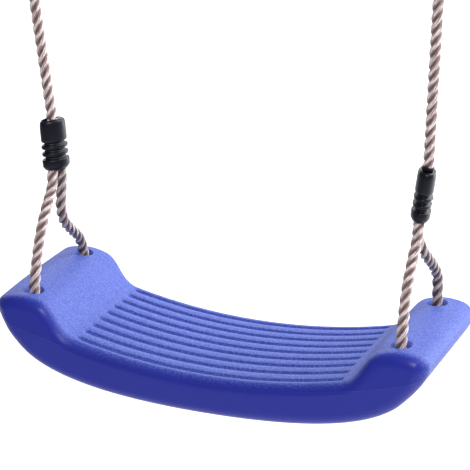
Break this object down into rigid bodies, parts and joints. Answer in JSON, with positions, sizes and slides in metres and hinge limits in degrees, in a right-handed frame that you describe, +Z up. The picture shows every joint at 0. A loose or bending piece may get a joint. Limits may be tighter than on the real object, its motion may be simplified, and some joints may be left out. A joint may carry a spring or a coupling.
{
  "type": "rope swing seat",
  "caption": "Dished plastic swing seat with a ribbed top and raised rope blocks, hung on twisted ropes that split into legs under moulded sleeves and end in steel hanging rings.",
  "frame": {"origin": "on the hang line, the level line where the hooks bear under the top of both hanger rings, above the middle of the seat's length and depth", "axes": "+X along the seat from its left rope to its right rope, +Y to the back of the seat, +Z up"},
  "size_m": [0.508, 0.176, 0.591],
  "materials": {
    "blue_plastic": "fine-grained blow-moulded polyethylene, smoother on the walls",
    "black_plastic": "satin moulded plastic",
    "hemp_rope": "three-strand twisted polyhemp",
    "zinc_steel": "galvanised"
  },
  "bodies": {
    "rings": {"hanger_ring_left": "zinc_steel", "hanger_ring_right": "zinc_steel"},
    "ropes": {"thimble_left": "black_plastic", "eye_rope_left": "hemp_rope", "upper_sleeve_left": "black_plastic", "upper_crimp_left": "zinc_steel", "hanging_rope_left": "hemp_rope", "thimble_right": "black_plastic", "eye_rope_right": "hemp_rope", "upper_sleeve_right": "black_plastic", "upper_crimp_right": "zinc_steel", "hanging_rope_right": "hemp_rope"},
    "seat": {"seat_shell": "blue_plastic", "lower_sleeve_left": "black_plastic", "lower_crimp_left": "zinc_steel", "front_leg_rope_left": "hemp_rope", "back_leg_rope_left": "hemp_rope", "under_seat_rope_left": "hemp_rope", "lower_sleeve_right": "black_plastic", "lower_crimp_right": "zinc_steel", "front_leg_rope_right": "hemp_rope", "back_leg_rope_right": "hemp_rope", "under_seat_rope_right": "hemp_rope"}
  },
  "joints": [
    {"name": "rope_swing", "type": "hinge", "parent": "rings", "child": "ropes", "pos_m": [0, 0, -0.04938], "axis": [1, 0, -0.0006], "range_deg": [-60, 60]},
    {"name": "seat_pitch", "type": "hinge", "parent": "ropes", "child": "seat", "pos_m": [0, 0, -0.31974], "axis": [0.9999, 0, -0.0106], "range_deg": [-40, 40]}
  ]
}
